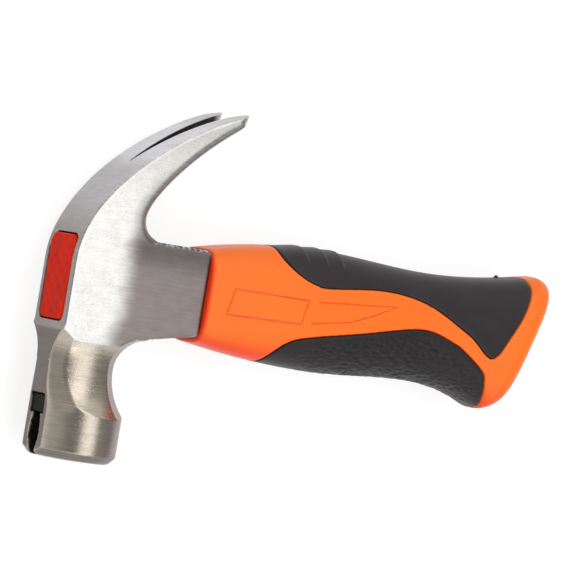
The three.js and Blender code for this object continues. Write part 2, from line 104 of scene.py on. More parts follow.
# Neck and poll
EYE_BLOCK_END = 15.0
EYE_TO_WAIST = 9.5
WAIST_TO_POLL = 14.2
POLL_LENGTH = 13.7
POLL_RADIUS = 13.6
POLL_FLARE = 2.0  # how fast the poll's round widens past the waist, clear of the neck
FACE_RADIUS = 11.1
FACE_CHAMFER_LENGTH = 2.7
FACE_CROWN_RADIUS = 180.0
FACE_EDGE = 0.7
RIM_EDGE = 0.25
TOP_CUT = 1.3
TOP_DROP_START = -29.0  # where the neck's top starts to fall to the poll's flat
UPPER_CUT = 1.9
SIDE_CUT = 5.6
LOWER_CUT = 5.4
BOTTOM_CUT = 5.2
UPPER_RISE = 4.1
SIDE_RISE = 4.3
SIDE_CROWN_RADIUS = 19.0  # the side facets are rounded across
SIDE_CROWN_AT = -2.5
SIDE_CROWN_HEIGHT = 0.6
LOWER_RISE = 6.9
BOTTOM_RISE = 6.9
UPPER_FACET_ANGLE = 50.3
LOWER_FACET_ANGLE = 41.0
FACET_EDGE = 0.22
NECK_ROOT = 2.0
NECK_FILLET = 0.1

# Nail starter, eye, resin and core
GROOVE_DEPTH = 3.6
GROOVE_MOUTH_HALF = 1.45
GROOVE_BELLY_HALF = 3.4
GROOVE_THROAT_HALF = 2.35
GROOVE_BELLY_FROM_FACE = 7.7
GROOVE_BELLY_SHIFT = 1.2  # how much nearer the face the belly is worn
GROOVE_EDGE = 0.2
GROOVE_CHIPS = 0.16  # how unevenly the groove's sides are cut
GROOVE_CHIP_SIZE = 3.1
MAGNET_FROM_BELLY = 5.0
MAGNET_LENGTH = 5.2
MAGNET_WIDTH = 7.8
MAGNET_DEPTH = 5.0
MAGNET_EDGE = 0.4
MAGNET_CHIPS = 0.08  # how uneven the magnet's top is
MAGNET_CHIP_SIZE = 4.3
EYE_LENGTH = 25.5
EYE_CENTRE = -0.25
EYE_CORNER = 2.5
EYE_EDGE = 0.35
CHEEK_WALL = 2.1
SKIRT_WALL = 2.8
RESIN_WALL = 1.0
RESIN_RECESS = 0.1
RESIN_CAP = 2.5
RESIN_EDGE = 0.45
RESIN_SWELL = 0.12  # how unevenly the resin set
RESIN_SWELL_SIZE = 9.0
RESIN_RIPPLE = 0.06
RESIN_RIPPLE_SIZE = 2.3
CORE_CORNER = 2.0
CORE_END_COVER = 25.0

# Handle sections: height above and below the axis, half the thickness, and how square the section is
COLLAR = np.array([14.4, 13.2, 11.3, 4.0])
SWELL = np.array([19.6, 16.5, 12.8, 2.6])
WAIST = np.array([18.2, 14.5, 12.0, 2.5])
BUTT = np.array([22.5, 19.5, 13.4, 3.0])
COLLAR_TO_SWELL = 40.9
SWELL_TO_WAIST = 34.0
WAIST_TO_BUTT = 31.2
COLLAR_ROUND = 0.6
COLLAR_CREEP = 0.2  # how far the moulding crept towards the skirt
BUTT_ROUND = 6.0
BUTT_SLANT = 0.32
GRIP_DEPTH = 2.2
GRIP_EDGE = 0.55
LIP_ROUND = 0.4
SEAM = 0.12  # half the gap that shows between the orange moulding and a grip

# Fine shapes on the handle
LEDGES = (62.3, 68.8, 74.3)  # where the thumb ledges on top of the upper grip drop
LEDGE_RUN = 6.0
LEDGE_DROP = 0.6
LEDGE_HEIGHT = 0.55
LEDGE_FADE = (13.8, 17.2)  # heights over which they fade in
LABEL = np.array([[39.0, 4.2], [63.3, 4.3], [61.8, -2.9], [37.4, -3.5], [39.0, 4.2]])
FIN_TOP = np.array([[66.8, 4.3], [93.3, 6.6]])
FIN_UNDER = np.array([[65.5, -2.2], [78.0, -0.1], [86.1, 3.1], [93.3, 6.6]])
ENGRAVE_DEPTH = 0.32
ENGRAVE_WIDTH = 0.24
NUB_AT = (132.5, 20.5, 0.0)
NUB_RADIUS = 0.7
PEBBLE_HEIGHT = 0.4
PEBBLE_SIZE = np.array([1.6, 0.8, 0.8])
PEBBLE_FADE = (0.8, 4.0)  # distances from the grip's border over which they start
PEBBLE_SKIN = (-0.5, -0.1)  # depths under the handle's outside over which they start
PEBBLE_START = (-15.0, 4.0)  # places along the handle, from the swell, over which they start
PEBBLE_FLAT = 0.35  # share of the noise above which a pebble is flat

# Fineness of the meshes
HEAD_CELL = 0.45
BODY_CELL = 0.55
GRIP_CELL = 0.45
RESIN_CELL = 0.5
MAGNET_CELL = 0.25
CURVE_STEPS = 60
CORNER_STEPS = 5
BORDER_STEPS = 6
MARGIN = 1.5
SETTLE_ROUNDS = 3
SLOPE_STEP = 0.03
LEAN_ROUNDS = 5
FINE_CUTS = 2
FINE_BY_SLOT = 0.9  # how near the slot's walls faces are finer
FINE_BY_LINES = 0.6  # how deep under the handle's outside they still are
LEAST_LEAN = 0.1  # these three keep a division from running away
LEAST_REACH = 0.05
LEAST_STEEP = 0.02

# Places that follow from the sizes
neck_waist = -EYE_BLOCK_END - EYE_TO_WAIST
poll_start = neck_waist - WAIST_TO_POLL
face_at = poll_start - POLL_LENGTH
poll_flat = POLL_RADIUS - TOP_CUT
magnet_at = face_at + GROOVE_BELLY_FROM_FACE + MAGNET_FROM_BELLY
claw_root = SKIRT_CLAW_SIDE + THROAT_RISE
handle_start = SKIRT_REACH + FIT
swell_at = handle_start + COLLAR_TO_SWELL
waist_at = swell_at + SWELL_TO_WAIST
butt_at = waist_at + WAIST_TO_BUTT
butt_end = butt_at + BUTT_ROUND
resin_top = RESIN_RECESS - TOP_FACE
core_top = resin_top + RESIN_CAP + FIT
core_end = butt_end - CORE_END_COVER

head_low, head_high = (np.array(corner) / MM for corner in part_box("head"))
ORIGIN = np.array([head_low[0] + TOP_FACE, head_high[1] - CLAW_TIP_OUT, (head_low[2] + head_high[2]) / 2])


# Fields: each gives the distance from a solid's surface, negative inside
def meet(a, b, radius):
    """What lies in both a and b, with its edge rounded."""
    around = np.hypot(np.maximum(a + radius, 0), np.maximum(b + radius, 0))
    return np.minimum(np.maximum(a, b), -radius) + around


def join(a, b, radius):
    """What lies in a or in b, with a fillet between them."""
    return -meet(-a, -b, radius)


def cut(a, b, radius):
    """What lies in a and not in b."""
    return meet(a, -b, radius)


def mix(start, end, share):
    return start + (end - start) * share


def ramp(value, start, end):
    """Rises smoothly from 0 at start to 1 at end."""
    share = np.clip((value - start) / (end - start), 0, 1)
    return share * share * (3 - 2 * share)


def fall(value, start, end):
    """Falls smoothly from 1 at start to 0 at end."""
    return 1 - ramp(value, start, end)


def wobble(x, y, z, size):
    """A gentle unevenness between -1 and 1, about as long as size."""
    turn = 2 * math.pi / size
    first = np.sin(turn * (x + 0.37 * y)) * np.sin(turn * (y + 0.29 * z) + 1.3)
    second = np.sin(1.7 * turn * (z + 0.41 * x) + 0.6) * np.sin(1.9 * turn * (y - 0.53 * x))
    return 0.6 * first + 0.4 * second


def line_distance(x, y, line):
    """Distance in a plane to a line through points."""
    best = np.full(np.broadcast(x, y).shape, np.inf)
    for (x0, y0), (x1, y1) in zip(line, line[1:]):
        along_x = x1 - x0
        along_y = y1 - y0
        share = ((x - x0) * along_x + (y - y0) * along_y) / (along_x * along_x + along_y * along_y)
        share = np.clip(share, 0, 1)
        best = np.minimum(best, np.hypot(x - x0 - share * along_x, y - y0 - share * along_y))
    return best


def inside(x, y, outline):
    """Which points of a plane a closed outline holds."""
    held = np.zeros(np.broadcast(x, y).shape, bool)
    for (x0, y0), (x1, y1) in zip(outline, np.roll(outline, -1, axis=0)):
        if y0 != y1:
            held ^= ((y0 > y) != (y1 > y)) & (x < x0 + (y - y0) * (x1 - x0) / (y1 - y0))
    return held


def rounded_box(y, z, half_y, half_z, corner):
    """Distance in a plane to a rectangle with round corners."""
    past_y = np.abs(y) - half_y + corner
    past_z = np.abs(z) - half_z + corner
    outside = np.hypot(np.maximum(past_y, 0), np.maximum(past_z, 0))
    return outside + np.minimum(np.maximum(past_y, past_z), 0) - corner


# Curves
def away(point, angle, distance):
    turn = math.radians(angle)
    return np.array(point) + distance * np.array([math.cos(turn), math.sin(turn)])


def bezier(start, start_pull, end_pull, end, steps):
    t = np.linspace(0, 1, steps)[:, None]
    rest = 1 - t
    return rest**3 * start + 3 * rest**2 * t * start_pull + 3 * rest * t**2 * end_pull + t**3 * end


def corner(start, middle, end):
    """A round corner between two points."""
    t = np.linspace(0, 1, CORNER_STEPS)[:, None]
    return (1 - t) ** 2 * np.array(start) + 2 * t * (1 - t) * np.array(middle) + t**2 * np.array(end)


def spline(points):
    """A smooth line through a few chosen points."""
    points = np.array(points)
    ends = np.vstack([points[:1], points, points[-1:]])
    t = np.linspace(0, 1, BORDER_STEPS, endpoint=False)[:, None]
    parts = []
    for a, b, c, d in zip(ends, ends[1:], ends[2:], ends[3:]):
        bend = 2 * a - 5 * b + 4 * c - d
        twist = 3 * b - 3 * c + d - a
        parts.append(b + 0.5 * ((c - a) * t + bend * t**2 + twist * t**3))
    return np.vstack(parts + [points[-1:]])


# Head
def skirt_line():
    """The side view of the eye block and the skirt, from the top face round to the claw's side."""
    root = POLL_RADIUS - BOTTOM_CUT + BOTTOM_RISE
    short = SKIRT_REACH - SKIRT_CORNER
    face_corner = corner(
        (short, -SKIRT_FACE_SIDE_END),
        (SKIRT_REACH, -SKIRT_FACE_SIDE_END),
        (SKIRT_REACH, SKIRT_CORNER - SKIRT_FACE_SIDE_END),
    )
    claw_corner = corner(
        (SKIRT_REACH, SKIRT_CLAW_SIDE - SKIRT_CORNER),
        (SKIRT_REACH, SKIRT_CLAW_SIDE),
        (short, SKIRT_CLAW_SIDE),
    )
    block = [[-TOP_FACE, -EYE_BLOCK_END], [root - SKIRT_CORNER, -EYE_BLOCK_END], [root, -SKIRT_FACE_SIDE]]
    return np.vstack([block, face_corner, claw_corner])


def head_lines():
    """The side view of the claw, the eye block and the skirt: the line under the claw, and the rest."""
    tip = np.array([CLAW_TIP_DOWN, CLAW_TIP_OUT])
    heel = away(tip, CLAW_TIP_BEVEL_ANGLE, -CLAW_TIP_THICKNESS)
    throat_end = THROAT_DOWN + THROAT_RUN
    turns = np.linspace(1.5 * math.pi, math.pi, CURVE_STEPS // 3)
    throat = np.stack([throat_end + THROAT_RUN * np.cos(turns), claw_root + THROAT_RISE * np.sin(turns)], 1)
    inner_pull = away(heel, CLAW_INNER_TIP_ANGLE, -CLAW_INNER_TIP_PULL)
    root_pull = np.array([THROAT_DOWN, claw_root + CLAW_INNER_ROOT_PULL])
    inner = bezier(throat[-1], root_pull, inner_pull, heel, CURVE_STEPS)
    outer_pull = away(tip, CLAW_OUTER_TIP_ANGLE, -CLAW_OUTER_TIP_PULL)
    start = np.array([-TOP_FACE, CLAW_START])
    start_pull = np.array([-TOP_FACE, CLAW_START + CLAW_OUTER_ROOT_PULL])
    outer = bezier(tip, outer_pull, start_pull, start, CURVE_STEPS)
    return np.vstack([throat, inner[1:]]), np.vstack([[heel], outer, skirt_line(), throat[:1]])


UNDER_LINE, REST_LINE = head_lines()
HEAD_OUTLINE = np.vstack([UNDER_LINE[1:], REST_LINE[1:]])


def claw_and_cheeks(x, y, z):
    to_under = line_distance(x, y, UNDER_LINE)
    to_rest = line_distance(x, y, REST_LINE)
    side = np.minimum(to_under, to_rest)
    side = np.where(inside(x, y, HEAD_OUTLINE), -side, side)
    on_claw = ramp(y, SKIRT_CLAW_SIDE, claw_root)
    taper = np.clip((x - SKIRT_TAPER_START) / (SKIRT_REACH - SKIRT_TAPER_START), 0, 1) * (1 - on_claw)
    spread = CLAW_SPREAD * np.clip((y - claw_root) / (CLAW_TIP_OUT - claw_root), 0, 1)
    half = CHEEK_HALF + spread - (CHEEK_HALF - SKIRT_END_HALF) * taper
    under_share = ramp(to_rest / (to_rest + to_under), *CLAW_UNDER_BAND)
    plain_edge = EDGE_ROUND * ramp(y, -EYE_BLOCK_END, NECK_ROOT - EYE_BLOCK_END)
    edge = mix(plain_edge, CLAW_UNDER_ROUND, under_share)
    solid = meet(side - CLAW_UNDER_OUT * under_share, np.abs(z) - half, edge)
    return meet(cut(solid, slot(x, y, z), SLOT_EDGE), tine_tips(x, z), TINE_TIP_EDGE)


def slot(x, y, z):
    """The tapering slot between the tines."""
    ends = [SLOT_START_DOWN, CLAW_TIP_DOWN - TINE_TIP_ROUND]
    half = np.interp(x, ends, [SLOT_START_HALF, SLOT_MOUTH_HALF])
    return np.maximum(np.maximum(np.abs(z) - half, SLOT_START_DOWN - x), claw_root - y)


def tine_tips(x, z):
    """The rounded ends of the tines in plan."""
    tine_middle = (CHEEK_HALF + CLAW_SPREAD + SLOT_MOUTH_HALF) / 2
    tine_half = (CHEEK_HALF + CLAW_SPREAD - SLOT_MOUTH_HALF) / 2
    across = (np.abs(z) - tine_middle) / tine_half
    steep = np.hypot(1, 2 * TINE_TIP_ROUND * across / tine_half)
    return (x - CLAW_TIP_DOWN + TINE_TIP_ROUND * across * across) / steep


def arc_rise(along, span, height):
    """Rise of an arc that leaves its start level and climbs a height over a span."""
    radius = (span * span + height * height) / (2 * height)
    return radius - np.sqrt(radius * radius - along * along)


def facet(y, depth, rise):
    """How far a ground facet lies from the poll's axis along the neck."""
    to_eye = np.clip(y - neck_waist, 0, EYE_TO_WAIST)
    to_poll = np.clip(neck_waist - y, 0, WAIST_TO_POLL)
    flare = arc_rise(to_eye, EYE_TO_WAIST, rise) + arc_rise(to_poll, WAIST_TO_POLL, depth)
    return POLL_RADIUS - depth + flare + np.maximum(poll_start - y, 0)


def neck_and_poll(x, y, z):
    upper = math.radians(UPPER_FACET_ANGLE)
    lower = math.radians(LOWER_FACET_ANGLE)
    out = np.abs(z)
    sunk = np.maximum(y + EYE_BLOCK_END, 0)
    top = mix(TOP_FACE, poll_flat, ramp(y, TOP_DROP_START, poll_start)) - sunk
    side = facet(y, SIDE_CUT, SIDE_RISE)
    crown = SIDE_CROWN_HEIGHT - (x - SIDE_CROWN_AT) ** 2 / (2 * SIDE_CROWN_RADIUS)
    side = side + crown * ramp(y, -EYE_BLOCK_END, neck_waist)
    side = np.where(y > neck_waist, np.minimum(side, CHEEK_HALF), side) - sunk
    solid = meet(-x - top, x - facet(y, BOTTOM_CUT, BOTTOM_RISE), FACET_EDGE)
    solid = meet(solid, out - side, FACET_EDGE)
    upper_slope = out * math.sin(upper) - x * math.cos(upper)
    solid = meet(solid, upper_slope - facet(y, UPPER_CUT, UPPER_RISE), FACET_EDGE)
    lower_slope = out * math.sin(lower) + x * math.cos(lower)
    solid = meet(solid, lower_slope - facet(y, LOWER_CUT, LOWER_RISE), FACET_EDGE)
    away_from_axis = np.hypot(x, z)
    bar = away_from_axis - POLL_RADIUS - POLL_FLARE * np.maximum(y - neck_waist, 0)
    solid = meet(solid, bar, FACET_EDGE)
    chamfer_out = POLL_RADIUS - FACE_RADIUS
    chamfer = (away_from_axis - FACE_RADIUS) * FACE_CHAMFER_LENGTH - (y - face_at) * chamfer_out
    solid = meet(solid, chamfer / math.hypot(FACE_CHAMFER_LENGTH, chamfer_out), RIM_EDGE)
    doming = away_from_axis * away_from_axis / (2 * FACE_CROWN_RADIUS)
    solid = meet(solid, face_at + doming - y, FACE_EDGE)
    return np.maximum(solid, y + EYE_BLOCK_END - NECK_ROOT)


def eye(x, y, z, narrow):
    """The eye's tapered inside, narrowed all round."""
    share = (x + TOP_FACE) / (SKIRT_REACH + TOP_FACE)
    low = mix(EYE_CENTRE - EYE_LENGTH / 2, SKIRT_WALL - SKIRT_FACE_SIDE_END, share)
    high = mix(EYE_CENTRE + EYE_LENGTH / 2, SKIRT_CLAW_SIDE - SKIRT_WALL, share)
    half = mix(CHEEK_HALF - CHEEK_WALL, SKIRT_END_HALF - SKIRT_WALL, share)
    return rounded_box(y - (low + high) / 2, z, (high - low) / 2 - narrow, half - narrow, EYE_CORNER)


def core(x, y, z, widen):
    """The core's bar, widened all round."""
    inner = FIT + RESIN_WALL + FIT - widen
    low = SKIRT_WALL - SKIRT_FACE_SIDE_END + inner
    high = SKIRT_CLAW_SIDE - SKIRT_WALL - inner
    half = SKIRT_END_HALF - SKIRT_WALL - inner
    bar = rounded_box(y - (low + high) / 2, z, (high - low) / 2, half, CORE_CORNER)
    return np.maximum(bar, np.maximum(core_top - widen - x, x - core_end - widen))


GROOVE_SIDE = spline([
    (face_at - MARGIN, GROOVE_MOUTH_HALF),
    (face_at, GROOVE_MOUTH_HALF),
    (face_at + GROOVE_BELLY_FROM_FACE - GROOVE_BELLY_SHIFT, GROOVE_BELLY_HALF),
    (magnet_at, GROOVE_THROAT_HALF),
])


def groove(x, y, z):
    """The nail groove on top of the poll, cut a little unevenly."""
    half = np.interp(y, GROOVE_SIDE[:, 0], GROOVE_SIDE[:, 1])
    half = half + GROOVE_CHIPS * wobble(x, y, z, GROOVE_CHIP_SIZE)
    return np.maximum(np.maximum(np.abs(z) - half, x + poll_flat - GROOVE_DEPTH), y - magnet_at)


def magnet(x, y, z, widen):
    """The magnet's block, or, widened, its pocket."""
    middle = magnet_at + MAGNET_LENGTH / 2
    block = rounded_box(y - middle, z, MAGNET_LENGTH / 2 + widen, MAGNET_WIDTH / 2 + widen, MAGNET_EDGE)
    return np.maximum(block, x + poll_flat - FIT - MAGNET_DEPTH - widen)


def head(x, y, z):
    solid = join(claw_and_cheeks(x, y, z), neck_and_poll(x, y, z), NECK_FILLET)
    solid = cut(solid, eye(x, y, z, 0), EYE_EDGE)
    solid = cut(solid, groove(x, y, z), GROOVE_EDGE)
    return cut(solid, magnet(x, y, z, FIT / 2), GROOVE_EDGE)


def magnet_block(x, y, z):
    top = FIT - poll_flat - x + MAGNET_CHIPS * wobble(x, y, z, MAGNET_CHIP_SIZE)
    return meet(magnet(x, y, z, 0), top, MAGNET_EDGE)


def resin(x, y, z):
    uneven = RESIN_SWELL * wobble(x, y, z, RESIN_SWELL_SIZE)
    uneven = uneven + RESIN_RIPPLE * wobble(x, y, z, RESIN_RIPPLE_SIZE)
    solid = meet(eye(x, y, z, FIT), resin_top - x + uneven, RESIN_EDGE)
    return cut(np.maximum(solid, x - SKIRT_REACH), core(x, y, z, FIT), RESIN_EDGE)


# Handle
def handle_section(x):
    """Height above and below the axis, half thickness, squareness and lean at places along the handle."""
    swell = 1 - np.clip((swell_at - x) / COLLAR_TO_SWELL, 0, 1) ** 2
    waist = ramp(x, swell_at, waist_at)
    butt = np.clip((x - waist_at) / WAIST_TO_BUTT, 0, 1)
    sizes = []
    for at_collar, at_swell, at_waist, at_butt in zip(COLLAR, SWELL, WAIST, BUTT):
        size = mix(at_collar, at_swell, swell) + (at_waist - at_swell) * waist
        sizes.append(size + (at_butt - at_waist) * butt * butt)
    return (*sizes, BUTT_SLANT * butt)


def handle(x, y, z):
    """The handle's outside, with both grips on."""
    place = x + 0 * y
    for _ in range(LEAN_ROUNDS):
        above, below, half, square, lean = handle_section(place)
        place = x - lean * (y - (above - below) / 2)
    across = np.abs(y - (above - below) / 2) / ((above + below) / 2)
    out = np.abs(z) / half
    reach = np.maximum((across**square + out**square) ** (1 / square), LEAST_REACH)
    steep = np.hypot(across ** (square - 1) / ((above + below) / 2), out ** (square - 1) / half)
    steep = np.maximum(steep * reach ** (1 - square), LEAST_STEEP)
    end = (place - butt_end) / math.hypot(1, BUTT_SLANT)
    solid = meet((reach - 1) / steep, end, BUTT_ROUND)
    return meet(solid, handle_start - COLLAR_CREEP - x, COLLAR_ROUND)


def side_point(place, height):
    """A point of the side view, by a place (0 at the collar, 4 at the end) and a share of the height."""
    stops = [handle_start, swell_at, waist_at, butt_at, butt_end]
    x = np.interp(place, range(len(stops)), stops)
    above, below = handle_section(x)[:2]
    return x, height * (above if height > 0 else below)


def border(points, side):
    """The border of a grip, and its outline closed outside the handle."""
    line = spline([side_point(*point) for point in points])
    far = side * (BUTT[0] + BUTT[1])
    return line, np.vstack([[line[0, 0], far], line, [line[-1, 0], far]])


UPPER_BORDER = border([
    (0.529, 1), (0.562, 0.822), (0.647, 0.653), (0.743, 0.534), (0.84, 0.464), (0.95, 0.446),
    (1.5, 0.565), (1.94, 0.49), (2.385, 0.138), (2.52, 0), (2.635, -0.18), (2.716, -0.231),
    (2.79, -0.119), (2.862, 0.094), (2.976, 0.4), (3.244, 0.641), (3.433, 0.81), (3.413, 0.915),
], 1)
LOWER_BORDER = border([
    (2.79, -1.1), (2.75, -0.948), (2.729, -0.816), (2.695, -0.623), (2.67, -0.522), (2.598, -0.415),
    (2.45, -0.235), (2.288, -0.074), (1.918, 0.077), (1.324, -0.168), (0.828, -0.396), (0.68, -0.551),
    (0.587, -0.796), (0.54, -1.01),
], -1)


def region(x, y, edge):
    """Distance in the side view to a grip's outline."""
    line, outline = edge
    distance = line_distance(x, y, line)
    return np.where(inside(x, y, outline), -distance, distance)


def engraving(x, y):
    """Distance in the side view to the thin lines round the label's place and the fin beside it."""
    nearest = line_distance(x, y, LABEL)
    for line in (FIN_TOP, FIN_UNDER):
        nearest = np.minimum(nearest, line_distance(x, y, line))
    return nearest


def handle_body(x, y, z):
    outside = handle(x, y, z)
    solid = outside + ENGRAVE_DEPTH * np.exp(-((engraving(x, y) / ENGRAVE_WIDTH) ** 2))
    for edge in (UPPER_BORDER, LOWER_BORDER):
        pocket = np.maximum(region(x, y, edge), -outside - GRIP_DEPTH)
        solid = cut(solid, pocket, LIP_ROUND)
    return cut(solid, core(x, y, z, FIT), LIP_ROUND)


def grip(x, y, z, edge, raised):
    outside = handle(x, y, z)
    solid = meet(outside - raised, region(x, y, edge) + 2 * SEAM, GRIP_EDGE)
    return meet(solid, FIT - outside - GRIP_DEPTH, LIP_ROUND)


def upper_grip(x, y, z):
    ledges = 0
    for drop in LEDGES:
        climb = np.clip((x - drop + LEDGE_RUN) / LEDGE_RUN, 0, 1)
        ledges = ledges + climb * fall(x, drop, drop + LEDGE_DROP)
    raised = LEDGE_HEIGHT * ledges * ramp(y, *LEDGE_FADE)
    nub = np.sqrt((x - NUB_AT[0]) ** 2 + (y - NUB_AT[1]) ** 2 + (z - NUB_AT[2]) ** 2) - NUB_RADIUS
    return join(grip(x, y, z, UPPER_BORDER, raised), nub, NUB_RADIUS / 2)


def lower_grip(x, y, z):
    return grip(x, y, z, LOWER_BORDER, 0)


# Meshes
def slope(field, points):
    """The field's slope at points."""
    total = 0
    for turn in ((1, -1, -1), (-1, -1, 1), (-1, 1, -1), (1, 1, 1)):
        total = total + np.array(turn) * field(*(points + SLOPE_STEP * np.array(turn)).T)[:, None]
    return total / (4 * SLOPE_STEP)


def settle(field, points, reach):
    """Lays points on the surface, each moved by no more than a reach."""
    for _ in range(SETTLE_ROUNDS):
        lean = slope(field, points)
        move = field(*points.T) / np.maximum((lean * lean).sum(1), LEAST_LEAN)
        points = points - np.clip(move[:, None] * lean, -reach, reach)
    return points


def crossings_along(axis, values):
    """Where a surface crosses a grid's edges along an axis, and the four cells round each crossing."""
    size = values.shape[axis]
    near = np.take(values, range(size - 1), axis)
    far = np.take(values, range(1, size), axis)
    edges = np.argwhere((near < 0) != (far < 0))
    start = near[tuple(edges.T)]
    point = edges.astype(float)
    point[:, axis] += start / (start - far[tuple(edges.T)])
    right = np.eye(3, dtype=int)[(axis + 1) % 3]
    up = np.eye(3, dtype=int)[(axis + 2) % 3]
    around = np.stack([edges - right - up, edges - up, edges, edges - right], 1)
    around[start >= 0] = around[start >= 0][:, ::-1]
    return np.repeat(point, 4, axis=0), np.ravel_multi_index(np.moveaxis(around, 2, 0), values.shape)


def skin(field, low, high, cell):
    """A mesh of quads over a field's surface, with a point in each grid cell that the surface crosses."""
    axes = [np.arange(math.floor(a / cell), math.ceil(b / cell) + 1) * cell for a, b in zip(low, high)]
    values = np.broadcast_to(field(*np.ix_(*axes)), tuple(len(axis) for axis in axes))
    found = [crossings_along(axis, values) for axis in range(3)]
    crossings = np.vstack([points for points, _ in found])
    cells = np.vstack([around for _, around in found])
    faces = np.unique(cells, return_inverse=True)[1].reshape(cells.shape)
    count = np.bincount(faces.ravel())
    middle = np.stack([np.bincount(faces.ravel(), crossings[:, i]) / count for i in range(3)], 1)
    points = np.array([axis[0] for axis in axes]) + middle * cell
    return settle(field, points, cell), faces


def mesh_points(mesh):
    points = np.empty(len(mesh.vertices) * 3)
    mesh.vertices.foreach_get("co", points)
    return points.reshape(-1, 3) / MM - ORIGIN


def place_points(mesh, points):
    mesh.vertices.foreach_set("co", ((points + ORIGIN) * MM).ravel())
    mesh.update()


def split_faces(mesh, wanted):
    """Divides the wanted faces more finely."""
    edit = bmesh.new()
    edit.from_mesh(mesh)
    edit.faces.ensure_lookup_table()
    edges = {edge for index in np.flatnonzero(wanted) for edge in edit.faces[index].edges}
    bmesh.ops.subdivide_edges(edit, edges=list(edges), cuts=FINE_CUTS, use_grid_fill=True)
    edit.to_mesh(mesh)
    edit.free()


def sharpness(mesh, points, normals, cell):
    """How far each point stands out of its neighbours: above 0 on edges, below 0 in corners."""
    ends = np.empty(len(mesh.edges) * 2, dtype=int)
    mesh.edges.foreach_get("vertices", ends)
    first, second = ends.reshape(-1, 2).T
    total = len(points)
    around = np.stack([
        np.bincount(first, along[second], total) + np.bincount(second, along[first], total)
        for along in points.T
    ], 1)
    count = np.bincount(ends, minlength=total)
    return ((points - around / count[:, None]) * normals).sum(1) / cell


def paint(mesh, name, colours):
    layer = mesh.attributes.new(name, "FLOAT_COLOR", "POINT")
    layer.data.foreach_set("color", np.ascontiguousarray(colours, dtype=np.float32).ravel())


def in_millimetres(box):
    """The low and the high corner of a box, as the shapes here are written."""
    return [np.array(point) / MM - ORIGIN for point in box]


def shape(name, node, field, cell, fine, texture):
    """A node's mesh with its finer parts and its texture, and its points and normals."""
    low, high = in_millimetres(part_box(node))
    points, faces = skin(field, low - MARGIN, high + MARGIN, cell)
    mesh = bpy.data.meshes.new(name)
    mesh.from_pydata(((points + ORIGIN) * MM).tolist(), [], faces.tolist())
    if fine:
        split_faces(mesh, fine(points[faces].mean(1)))
        points = settle(field, mesh_points(mesh), cell)
    normals = slope(field, points)
    normals /= np.linalg.norm(normals, axis=1)[:, None]
    if texture:
        points = points + normals * texture(points)[:, None]
    points = np.clip(points, *in_millimetres(cad_box))
    place_points(mesh, points)
    return mesh, points, normals


def build(name, node, field, cell, look, finish_and_painted_light, fine=None, texture=None):
    """A piece that stands for a node, with its material and the finish and painted light of each point."""
    mesh, points, normals = shape(name, node, field, cell, fine, texture)
    paint(mesh, "finish_and_painted_light", finish_and_painted_light(points, normals, sharpness(mesh, points, normals, cell)))
    mesh.shade_smooth()
    mesh.materials.append(look)
    piece = bpy.data.objects.new(name, mesh)
    bpy.context.scene.collection.objects.link(piece)
    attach(piece, "root")
    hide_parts(node)


# Finishes and painted light: a colour for each point, with its roughness beside it
GROUND = (0.56, 0.55, 0.53, 0.25)
# Painted shade: the claw's flanks by the tips, and its top faces, darker where they turn from the light
CLAW_TIP_SHADE = (0.41, 0.4, 0.38, 0.3)
CLAW_TOP_SHADE = (0.41, 0.4, 0.405, 0.3)
TINE_TOP = (0.6, 0.59, 0.61, 0.3)
BY_THE_EYE = (0.29, 0.265, 0.245, 0.36)
SKIRT = (0.24, 0.21, 0.205, 0.42)
SKIRT_CLAW_EDGE = (0.13, 0.115, 0.112, 0.42)
# Forged grey under the claw, widened with painted shade where the rolled edge turns from the light
FORGED_AND_SHADED = (0.36, 0.345, 0.335, 0.45)
NECK = (0.43, 0.38, 0.315, 0.2)
# Painted shade: the neck's and the poll's top faces and undersides, darker where they turn from the light
NECK_TOP_PAINTED_SHADE = (0.165, 0.14, 0.128, 0.38)
NECK_UNDER_PAINTED_SHADE = (0.3, 0.25, 0.23, 0.3)
RIM = (0.19, 0.17, 0.15, 0.35)
# Painted shade: the eye's walls round the resin, dark as the shaded gap there
EYE_WALL_SHADE = (0.09, 0.05, 0.03, 0.5)
BLACKENED = (0.012, 0.01, 0.01, 0.6)
# Painted highlight, partly wear: the bright steel along the head's edges and in the burr's bright specks
BRIGHT_EDGE = (0.75, 0.73, 0.7, 0.3)
ORANGE = (0.95, 0.17, 0.012, 0.36)
# The paler colours laid along edges are wear and a painted highlight
PALE_ORANGE = (0.97, 0.26, 0.04, 0.4)
# Painted shade: the orange as it looks underneath and in the shade by the skirt
SHADED_RED_ORANGE = (0.95, 0.06, 0.008, 0.36)
MAGNET_BLACK = (0.014, 0.012, 0.011, 0.5)
MAGNET_EDGE_WEAR_AND_HIGHLIGHT = (0.06, 0.055, 0.05, 0.45)
RESIN_RED = (0.95, 0.026, 0.007, 0.3)
RESIN_EDGE_WEAR_AND_HIGHLIGHT = (0.97, 0.05, 0.012, 0.35)
SMOOTH_BLACK = (0.016, 0.0105, 0.012, 0.47)
SMOOTH_EDGE_WEAR_AND_HIGHLIGHT = (0.04, 0.034, 0.034, 0.55)
PEBBLED_BLACK = (0.008, 0.0055, 0.006, 0.45)
PEBBLED_EDGE_WEAR_AND_HIGHLIGHT = (0.03, 0.026, 0.026, 0.45)

